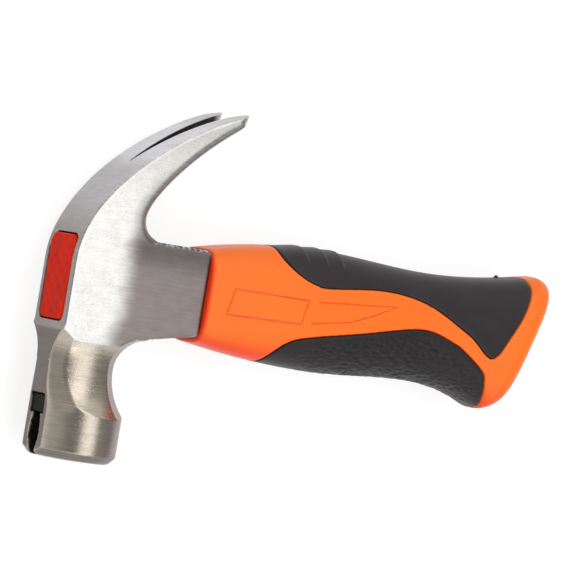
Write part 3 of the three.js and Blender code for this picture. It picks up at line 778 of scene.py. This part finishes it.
# Bands over which finishes and painted light start or end: places, distances (REACH) and turns of a normal
# (TURN)
FLANK_TURN = (0.45, 0.8)
FULL_FLANK = 0.99
TINE_TOP_FROM = (32, 39)
TINE_TOP_TO = (47, 54)
CLAW_TIP_SHADE_FROM = (20, 54)
BY_THE_EYE_OUT = (10, 26)
BY_THE_EYE_DOWN = (-4, 4)
FORGED_AND_SHADED_REACH = (0.6, 5)
FORGED_AND_SHADED_OUT = (25, 42)
SKIRT_FROM = (0.8, 9)
SKIRT_STREAKS = 0.54
SKIRT_STREAK_SIZE = 2.1
SKIRT_STREAK_STRETCH = 0.1  # streaks run along the handle
SKIRT_CLOUDS = 0.36
SKIRT_CLOUD_SIZE = 9
SKIRT_WEDGE = 2.6  # how much nearer the top face the grey starts by the neck
SKIRT_WEDGE_DOWN = (7, 15)
SKIRT_OUT = (11, 19)
SKIRT_NECK = (-19.5, -17)
SKIRT_DARK_FROM = (3, 12)
NECK_TILT = 10  # how much nearer the eye the neck's finish starts as the cheek turns away
NECK_CHEEK = (17, 21)
NECK_EDGE = (14.2, 15.8)
# Turns of a normal over which the painted shade under and on top of the neck starts
NECK_UNDER_SHADE_TURN = (0.15, 0.5)
NECK_TOP_SHADE_TURN = (0.94, 0.99)
RIM_FROM_TURN = (0.3, 0.6)
RIM_TO_TURN = (0.85, 0.95)
RIM_REACH = (2.9, 3.4)
# How strongly edges take the painted highlight, which is partly wear
EDGE_SHINE = 4
EDGE_SHINE_START = 0.12
BURR_FROM = (10, 15)
BURR_OUT = (14.5, 16)
BURR_SIDE_REACH = (0.2, 0.9)
BURR_CHEEK_REACH = (0.4, 1.2)
BURR_SPECKS = (0.1, 0.4)
BURR_BRIGHT = 0.55
BURR_DARK = 0.8
RECESS_REACH = (-0.05, 0.25)
EYE_TOP_BARE = 0.3  # how deep the eye's painted shade and the groove's own finish start
GROOVE_TOP_BARE = 0.55
SLOT_WALL_TURN = 0.35
# Where the painted shade on the orange starts: turns underneath, and distances from the collar's front
SHADE_UNDER_TURN = (0.12, 1)
SHADE_BY_SKIRT_REACH = (0.2, 1.1)
# Edge paling is wear and a painted highlight; corner darkening is painted shade
EDGE_WEAR_AND_HIGHLIGHT = 1.5
PAINTED_CORNER_SHADE = 3
PAINTED_CORNER_SHADE_START = 0.15
PAINTED_CORNER_SHADE_MOST = 0.6


def lay(base, colour, share):
    """Lays one colour over another where its share is above 0."""
    return mix(base, np.array(colour), np.clip(share, 0, 1)[:, None])


def claw_finish_and_painted_shade(colours, points, normals):
    """The bright cheeks; painted shade on the top faces and on the flanks towards the tips, with the tine
    tops lighter; and the forged roll round the throat, greyed further as painted shade.
    """
    x, y, _ = points.T
    flank = ramp(np.abs(normals[:, 2]), *FLANK_TURN)
    # Painted shade on the top faces
    colours = lay(colours, CLAW_TOP_SHADE, 1 - flank)
    colours = lay(colours, TINE_TOP, (1 - flank) * ramp(y, *TINE_TOP_FROM) * fall(y, *TINE_TOP_TO))
    # Painted shade on the flanks towards the tips
    colours = lay(colours, CLAW_TIP_SHADE, flank * ramp(y, *CLAW_TIP_SHADE_FROM))
    colours = lay(colours, BY_THE_EYE, (1 - flank) * fall(y, *BY_THE_EYE_OUT) * fall(x, *BY_THE_EYE_DOWN))
    to_under = line_distance(x, y, UNDER_LINE)
    # Forged grey, widened as painted shade
    return lay(colours, FORGED_AND_SHADED, fall(to_under, *FORGED_AND_SHADED_REACH) * fall(y, *FORGED_AND_SHADED_OUT))


def skirt_finish(colours, points):
    """The skirt's grey, which starts in streaks and is darker on the claw's side."""
    x, y, z = points.T
    streaks = SKIRT_STREAKS * wobble(SKIRT_STREAK_STRETCH * x, y, z, SKIRT_STREAK_SIZE)
    clouds = SKIRT_CLOUDS * wobble(x, y, z, SKIRT_CLOUD_SIZE)
    start = x + streaks + clouds + SKIRT_WEDGE * ramp(-y, *SKIRT_WEDGE_DOWN)
    share = ramp(start, *SKIRT_FROM) * fall(y, *SKIRT_OUT) * ramp(y, *SKIRT_NECK)
    colours = lay(colours, SKIRT, share)
    return lay(colours, SKIRT_CLAW_EDGE, share * ramp(y, *SKIRT_DARK_FROM))


def neck_finish_and_painted_shade(colours, points, normals):
    """The neck and the poll, with painted shade underneath and on top, and duller on the chamfer round the
    face.
    """
    y = points[:, 1]
    upright = np.abs(normals[:, 2])
    on_cheek = ramp(upright, *FLANK_TURN) > FULL_FLANK
    share = np.where(on_cheek, ramp(NECK_TILT * (1 - upright) - y, *NECK_CHEEK), ramp(-y, *NECK_EDGE))
    colours = lay(colours, NECK, share)
    # Painted shade underneath and on top
    colours = lay(colours, NECK_UNDER_PAINTED_SHADE, share * ramp(normals[:, 0], *NECK_UNDER_SHADE_TURN))
    colours = lay(colours, NECK_TOP_PAINTED_SHADE, share * ramp(-normals[:, 0], *NECK_TOP_SHADE_TURN))
    slanted = ramp(-normals[:, 1], *RIM_FROM_TURN) * fall(-normals[:, 1], *RIM_TO_TURN)
    return lay(colours, RIM, slanted * fall(y - face_at, *RIM_REACH))


def burr_finish(colours, points):
    """Bright specks, which are painted glints, and dark specks along the skirt's edges on the claw's side.
    """
    x, y, z = points.T
    by_side = fall(SKIRT_CLAW_SIDE - y, *BURR_SIDE_REACH) * fall(y, *BURR_OUT)
    by_cheek = fall(SKIRT_END_HALF - np.abs(z), *BURR_CHEEK_REACH)
    share = by_side * by_cheek * ramp(x, *BURR_FROM)
    speckle = wobble(x, y, z, 1.9) + 0.7 * wobble(x, y, z, 0.8)
    # Painted glints
    colours = lay(colours, BRIGHT_EDGE, BURR_BRIGHT * share * ramp(speckle, *BURR_SPECKS))
    return lay(colours, BLACKENED, BURR_DARK * share * ramp(-speckle, *BURR_SPECKS))


def recess_finish_and_eye_shade(colours, points, normals):
    """The dark insides of the nail groove, the magnet's pocket and the slot, and painted shade on the eye's
    walls round the resin.
    """
    x, y, z = points.T
    in_eye_shade = np.maximum(eye(x, y, z, 0), EYE_TOP_BARE - TOP_FACE - x)
    in_groove = np.maximum(groove(x, y, z), GROOVE_TOP_BARE - poll_flat - x)
    in_slot = np.where(np.abs(normals[:, 2]) > SLOT_WALL_TURN, slot(x, y, z), 1)
    dark = np.minimum(np.minimum(in_groove, in_slot), magnet(x, y, z, FIT))
    # Painted shade on the eye's walls
    colours = lay(colours, EYE_WALL_SHADE, fall(in_eye_shade, *RECESS_REACH))
    return lay(colours, BLACKENED, fall(dark, *RECESS_REACH))


# The head's finish, with painted shade and painted highlights laid over it
def head_finish_and_painted_light(points, normals, edges):
    colours = claw_finish_and_painted_shade(np.tile(GROUND, (len(points), 1)), points, normals)
    colours = skirt_finish(colours, points)
    colours = neck_finish_and_painted_shade(colours, points, normals)
    # Painted highlight along edges, partly wear
    colours = lay(colours, BRIGHT_EDGE, EDGE_SHINE * (edges - EDGE_SHINE_START))
    colours = burr_finish(colours, points)
    return recess_finish_and_eye_shade(colours, points, normals)


def even_finish_with_painted_light(colour, edge_wear_and_highlight):
    """A finish of one colour that is paler along edges, with wear and a painted highlight, and darker in
    corners, with painted shade.
    """
    def finish_and_painted_light(points, normals, edges):
        # Paler edges are wear and a painted highlight; darker corners are painted shade
        colours = lay(np.tile(colour, (len(points), 1)), edge_wear_and_highlight, EDGE_WEAR_AND_HIGHLIGHT * edges)
        dark = np.clip(-PAINTED_CORNER_SHADE * edges - PAINTED_CORNER_SHADE_START, 0, PAINTED_CORNER_SHADE_MOST)[:, None]
        return colours * (1 - dark * np.array([1, 1, 1, 0]))
    return finish_and_painted_light


def body_finish_and_painted_shade(points, normals, edges):
    """Orange with painted shade: redder underneath, and beside the skirt, where the collar's front is in
    shade and takes up its own red light.
    """
    colours = even_finish_with_painted_light(ORANGE, PALE_ORANGE)(points, normals, edges)
    # Painted shade underneath and beside the skirt
    shade_under = ramp(-normals[:, 1], *SHADE_UNDER_TURN)
    shade_by_skirt = fall(points[:, 0] - handle_start, *SHADE_BY_SKIRT_REACH)
    return lay(colours, SHADED_RED_ORANGE, shade_under + shade_by_skirt)


def pebbles(points):
    """The lower grip's moulded texture, which fades towards its border."""
    x, y, z = points.T
    shown = ramp(handle(x, y, z), *PEBBLE_SKIN) * ramp(-region(x, y, LOWER_BORDER), *PEBBLE_FADE)
    shown = shown * ramp(x - swell_at, *PEBBLE_START)
    heights = np.array([noise.noise(Vector(point)) for point in points / PEBBLE_SIZE])
    return PEBBLE_HEIGHT * shown * (np.minimum(heights, PEBBLE_FLAT) - PEBBLE_FLAT)


def near_slot(points):
    """Which faces of the head lie by the slot's walls."""
    return np.abs(slot(*points.T)) < FINE_BY_SLOT


def near_lines(points):
    """Which faces of the body lie by the engraved lines."""
    x, y, z = points.T
    return (engraving(x, y) < 3 * ENGRAVE_WIDTH) & (handle(x, y, z) > -FINE_BY_LINES)


# Materials
NECK_LINES = 4.2  # how much coarser the neck is ground
NECK_LINES_FROM = (-0.015, -0.019)  # where that starts, in metres
STRAND = (0.62, 0.5, 0.26, 1)
PALE_STRAND = (0.78, 0.68, 0.42, 1)


class Look:
    """A material and its node tree, with its surface's own coordinates and its painted finish and painted
    light.
    """

    def __init__(self, name):
        self.material = bpy.data.materials.new(name)
        self.material.use_nodes = True
        self.tree = self.material.node_tree
        self.surface = self.tree.nodes["Principled BSDF"]
        self.place = self.add("ShaderNodeTexCoord").outputs["Object"]
        self.finish_and_painted_light = self.add("ShaderNodeAttribute", attribute_name="finish_and_painted_light")

    def set(self, socket, value):
        if isinstance(value, bpy.types.NodeSocket):
            self.tree.links.new(value, socket)
        else:
            socket.default_value = value

    def add(self, kind, inputs=None, **settings):
        node = self.tree.nodes.new(kind)
        for name, value in settings.items():
            setattr(node, name, value)
        for name, value in (inputs or {}).items():
            self.set(node.inputs[name], value)
        return node

    def noise(self, lengths, detail=3.0, rough=0.5):
        """Noise whose features have these lengths, in millimetres."""
        scale = [1 / (length * MM) for length in lengths]
        place = self.add("ShaderNodeMapping", {"Vector": self.place, "Scale": scale}).outputs["Vector"]
        inputs = {"Vector": place, "Scale": 1.0, "Detail": detail, "Roughness": rough}
        return self.add("ShaderNodeTexNoise", inputs).outputs["Fac"]

    def remap(self, value, low, high, to_low, to_high):
        inputs = {"Value": value, "From Min": low, "From Max": high, "To Min": to_low, "To Max": to_high}
        return self.add("ShaderNodeMapRange", inputs).outputs["Result"]

    def math(self, operation, first, second):
        node = self.add("ShaderNodeMath", operation=operation)
        self.set(node.inputs[0], first)
        self.set(node.inputs[1], second)
        return node.outputs["Value"]

    def scale(self, colour, amount):
        """A colour made lighter or darker by an amount."""
        node = self.add("ShaderNodeVectorMath", {"Scale": amount}, operation="SCALE")
        self.set(node.inputs[0], colour)
        return node.outputs["Vector"]

    def bump(self, height, depth, normal=None):
        """A bump whose full height is a depth in millimetres."""
        inputs = {"Height": height, "Strength": 1.0, "Distance": depth * MM}
        if normal:
            inputs["Normal"] = normal
        return self.add("ShaderNodeBump", inputs).outputs["Normal"]

    def wear(self, **inputs):
        """Sets the shader's sockets by name, with spaces as underscores."""
        for name, value in inputs.items():
            self.set(self.surface.inputs[name.replace("_", " ")], value)
        return self.material


def steel():
    look = Look("ground steel")
    lines = look.noise((9.0, 0.22, 9.0), 4.0, 0.65)
    blotches = look.noise((4.5, 3.0, 4.5), 4.0, 0.6)
    pits = look.noise((0.7, 0.5, 0.7), 2.0)
    shade = look.remap(lines, 0.3, 0.7, 0.8, 1.13)
    shade = look.math("MULTIPLY", shade, look.remap(blotches, 0.3, 0.7, 0.92, 1.07))
    rough = look.math("ADD", look.finish_and_painted_light.outputs["Alpha"], look.remap(lines, 0.25, 0.75, -0.07, 0.1))
    along = look.add("ShaderNodeSeparateXYZ", {"Vector": look.place}).outputs["Y"]
    coarse = look.remap(along, *NECK_LINES_FROM, 1.0, NECK_LINES)
    normal = look.bump(look.math("MULTIPLY", lines, coarse), 0.01)
    normal = look.bump(look.remap(pits, 0.3, 0.42, 0.0, 1.0), 0.016, normal)
    return look.wear(
        Base_Color=look.scale(look.finish_and_painted_light.outputs["Color"], shade),
        Roughness=rough,
        Normal=normal,
        Metallic=1.0,
    )


def moulding():
    look = Look("orange moulding")
    clouds = look.noise((22.0, 14.0, 14.0), 2.0)
    grain = look.noise((0.5, 0.5, 0.5), 2.0)
    return look.wear(
        Base_Color=look.scale(look.finish_and_painted_light.outputs["Color"], look.remap(clouds, 0.3, 0.7, 0.95, 1.04)),
        Roughness=look.math("ADD", look.finish_and_painted_light.outputs["Alpha"], look.remap(grain, 0.3, 0.7, -0.03, 0.05)),
        Normal=look.bump(grain, 0.006),
        Specular_IOR_Level=0.22,
        Subsurface_Weight=0.06,
        Subsurface_Radius=(1.0, 0.25, 0.08),
        Subsurface_Scale=0.002,
    )


def rubber(name, grain_lengths, grain_depth):
    look = Look(name)
    grain = look.noise(grain_lengths, 4.0, 0.6)
    clouds = look.noise((9.0, 6.0, 6.0), 3.0)
    return look.wear(
        Base_Color=look.scale(look.finish_and_painted_light.outputs["Color"], look.remap(clouds, 0.3, 0.7, 0.8, 1.2)),
        Roughness=look.math("ADD", look.finish_and_painted_light.outputs["Alpha"], look.remap(grain, 0.3, 0.7, -0.08, 0.08)),
        Normal=look.bump(grain, grain_depth),
        Specular_IOR_Level=0.26,
        Sheen_Weight=0.1,
    )


def cured_resin():
    look = Look("red resin")
    streaks = look.noise((3.0, 12.0, 3.0), 3.0)
    return look.wear(
        Base_Color=look.scale(look.finish_and_painted_light.outputs["Color"], look.remap(streaks, 0.3, 0.7, 0.85, 1.12)),
        Roughness=look.math("ADD", look.finish_and_painted_light.outputs["Alpha"], look.remap(streaks, 0.3, 0.7, -0.05, 0.1)),
        Normal=look.bump(look.noise((1.2, 1.2, 1.2), 2.0), 0.03),
        Specular_IOR_Level=0.03,
    )


def black_magnet():
    look = Look("black magnet")
    grain = look.noise((0.6, 0.6, 0.6), 4.0, 0.7)
    return look.wear(
        Base_Color=look.scale(look.finish_and_painted_light.outputs["Color"], look.remap(grain, 0.3, 0.7, 0.6, 1.5)),
        Roughness=look.remap(grain, 0.3, 0.7, 0.5, 0.75),
        Normal=look.bump(grain, 0.03),
        Specular_IOR_Level=0.1,
    )


def fibreglass():
    look = Look("fibreglass bar")
    strands = look.noise((14.0, 0.3, 0.3), 4.0)
    pale = look.add("ShaderNodeMix", {0: look.remap(strands, 0.3, 0.7, 0.0, 1.0)}, data_type="RGBA")
    look.set(pale.inputs[6], STRAND)
    look.set(pale.inputs[7], PALE_STRAND)
    return look.wear(Base_Color=pale.outputs[2], Roughness=0.45, Normal=look.bump(strands, 0.02))


# Pieces
build("hammer_head", "head", head, HEAD_CELL, steel(), head_finish_and_painted_light, near_slot)
build(
    "nail_magnet_block", "nail_magnet", magnet_block, MAGNET_CELL, black_magnet(),
    even_finish_with_painted_light(MAGNET_BLACK, MAGNET_EDGE_WEAR_AND_HIGHLIGHT),
)
build(
    "eye_resin_fill", "eye_resin", resin, RESIN_CELL, cured_resin(),
    even_finish_with_painted_light(RESIN_RED, RESIN_EDGE_WEAR_AND_HIGHLIGHT),
)
build(
    "handle_moulding", "handle_body", handle_body, BODY_CELL, moulding(),
    body_finish_and_painted_shade, near_lines,
)
build(
    "upper_grip_rubber", "upper_grip", upper_grip, GRIP_CELL,
    rubber("smooth rubber", (0.5, 0.4, 0.4), 0.012), even_finish_with_painted_light(SMOOTH_BLACK, SMOOTH_EDGE_WEAR_AND_HIGHLIGHT),
)
build(
    "lower_grip_rubber", "lower_grip", lower_grip, GRIP_CELL,
    rubber("pebbled rubber", (1.0, 0.45, 0.45), 0.09), even_finish_with_painted_light(PEBBLED_BLACK, PEBBLED_EDGE_WEAR_AND_HIGHLIGHT),
    None, pebbles,
)
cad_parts["handle_core"].data.materials.clear()
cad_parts["handle_core"].data.materials.append(fibreglass())

# Floor, light and camera
FLOOR_HALF = 6.0
FLOOR_SHADE = 0.35
FLOOR_GLOW = 0.76
SKY = 0.34
SKY_BESIDE = 0.95  # how much brighter the sky is over the claw's side and over the face's side
SKY_LEFT = 0.35  # how much brighter it is past the head's top
SKY_RIGHT = 0.1  # how much brighter it is past the butt
SKY_END_BAND = (0.5, 0.95)  # how level a direction is where that starts and where it is full
SKY_SIDE_BAND = (0.35, 0.9)
KEY_PLACE = (0.22, 0.0, 0.975)
KEY_SIZE = (2.6, 0.62)  # along the head, and along the handle
KEY_BRIGHTNESS = 1.8
VIEW_LEAN = 29.0  # how far the camera leans from straight above, towards the head's top
VIEW_ROLL = 9.5
VIEW_DISTANCE = 1.5
VIEW_LENS = 323.24
VIEW_CLIP = 50
VIEW_AIM = (60.94, 8.0, 0.0)


def in_scene(point):
    return Vector((np.array(point) + ORIGIN) * MM)


def floor():
    mesh = bpy.data.meshes.new("floor")
    corners = [(-1, -1), (1, -1), (1, 1), (-1, 1)]
    mesh.from_pydata([(FLOOR_HALF * x, FLOOR_HALF * y, 0) for x, y in corners], [], [(0, 1, 2, 3)])
    plane = bpy.data.objects.new("floor", mesh)
    bpy.context.scene.collection.objects.link(plane)
    look = Look("pale floor")
    path = look.add("ShaderNodeLightPath")
    seen = look.math("MAXIMUM", path.outputs["Is Camera Ray"], path.outputs["Is Glossy Ray"])
    seen = look.math("MAXIMUM", seen, path.outputs["Is Transmission Ray"])
    look.wear(
        Base_Color=(FLOOR_SHADE, FLOOR_SHADE, FLOOR_SHADE, 1),
        Roughness=0.9,
        Specular_IOR_Level=0.0,
        Emission_Color=(1, 1, 1, 1),
        Emission_Strength=look.math("MULTIPLY", seen, FLOOR_GLOW),
    )
    mesh.materials.append(look.material)


def soft_light(name, position, size, brightness):
    """A soft box that faces the hammer. Its brightness is that of its lit face."""
    data = bpy.data.lights.new(name, "AREA")
    data.shape = "RECTANGLE"
    data.size, data.size_y = size
    data.energy = brightness * math.pi * size[0] * size[1]
    lamp = bpy.data.objects.new(name, data)
    lamp.location = position
    lamp.rotation_euler = (-Vector(position)).to_track_quat("-Z", "Y").to_euler()
    lamp.visible_camera = False
    bpy.context.scene.collection.objects.link(lamp)


def side_light(tree, level, way, band, amount):
    """How much one side adds to the sky, by how level a direction is."""
    share = tree.nodes.new("ShaderNodeMapRange")
    share.interpolation_type = "SMOOTHSTEP"
    tree.links.new(level, share.inputs["Value"])
    limits = {"From Min": way * band[0], "From Max": way * band[1], "To Min": 0.0, "To Max": amount}
    for name, value in limits.items():
        share.inputs[name].default_value = value
    return share.outputs["Result"]


def sky():
    world = bpy.data.worlds.new("studio")
    world.use_nodes = True
    tree = world.node_tree
    place = tree.nodes.new("ShaderNodeTexCoord")
    split = tree.nodes.new("ShaderNodeSeparateXYZ")
    tree.links.new(place.outputs["Generated"], split.inputs[0])
    total = tree.nodes.new("ShaderNodeValue").outputs["Value"]
    total.default_value = SKY
    sides = [("X", -1, SKY_END_BAND, SKY_LEFT), ("X", 1, SKY_END_BAND, SKY_RIGHT)]
    sides += [("Y", 1, SKY_SIDE_BAND, SKY_BESIDE), ("Y", -1, SKY_SIDE_BAND, SKY_BESIDE)]
    for axis, way, band, amount in sides:
        add = tree.nodes.new("ShaderNodeMath")
        tree.links.new(side_light(tree, split.outputs[axis], way, band, amount), add.inputs[0])
        tree.links.new(total, add.inputs[1])
        total = add.outputs["Value"]
    tree.links.new(total, tree.nodes["Background"].inputs["Color"])
    bpy.context.scene.world = world


def camera():
    lean = math.radians(VIEW_LEAN)
    roll = math.radians(VIEW_ROLL)
    back = Vector((-math.sin(lean), 0, math.cos(lean)))
    level = Vector((math.cos(lean), 0, math.sin(lean)))
    upright = Vector((0, 1, 0))
    right = level * math.cos(roll) + upright * math.sin(roll)
    up = upright * math.cos(roll) - level * math.sin(roll)
    data = bpy.data.cameras.new("camera")
    data.lens = VIEW_LENS
    data.clip_end = VIEW_CLIP
    holder = bpy.data.objects.new("camera", data)
    turn = Matrix((right, up, back)).transposed().to_4x4()
    holder.matrix_world = Matrix.Translation(in_scene(VIEW_AIM) + back * VIEW_DISTANCE) @ turn
    bpy.context.scene.collection.objects.link(holder)
    bpy.context.scene.camera = holder


floor()
sky()
soft_light("key", KEY_PLACE, KEY_SIZE, KEY_BRIGHTNESS)
camera()
bpy.context.scene.view_settings.view_transform = "Standard"
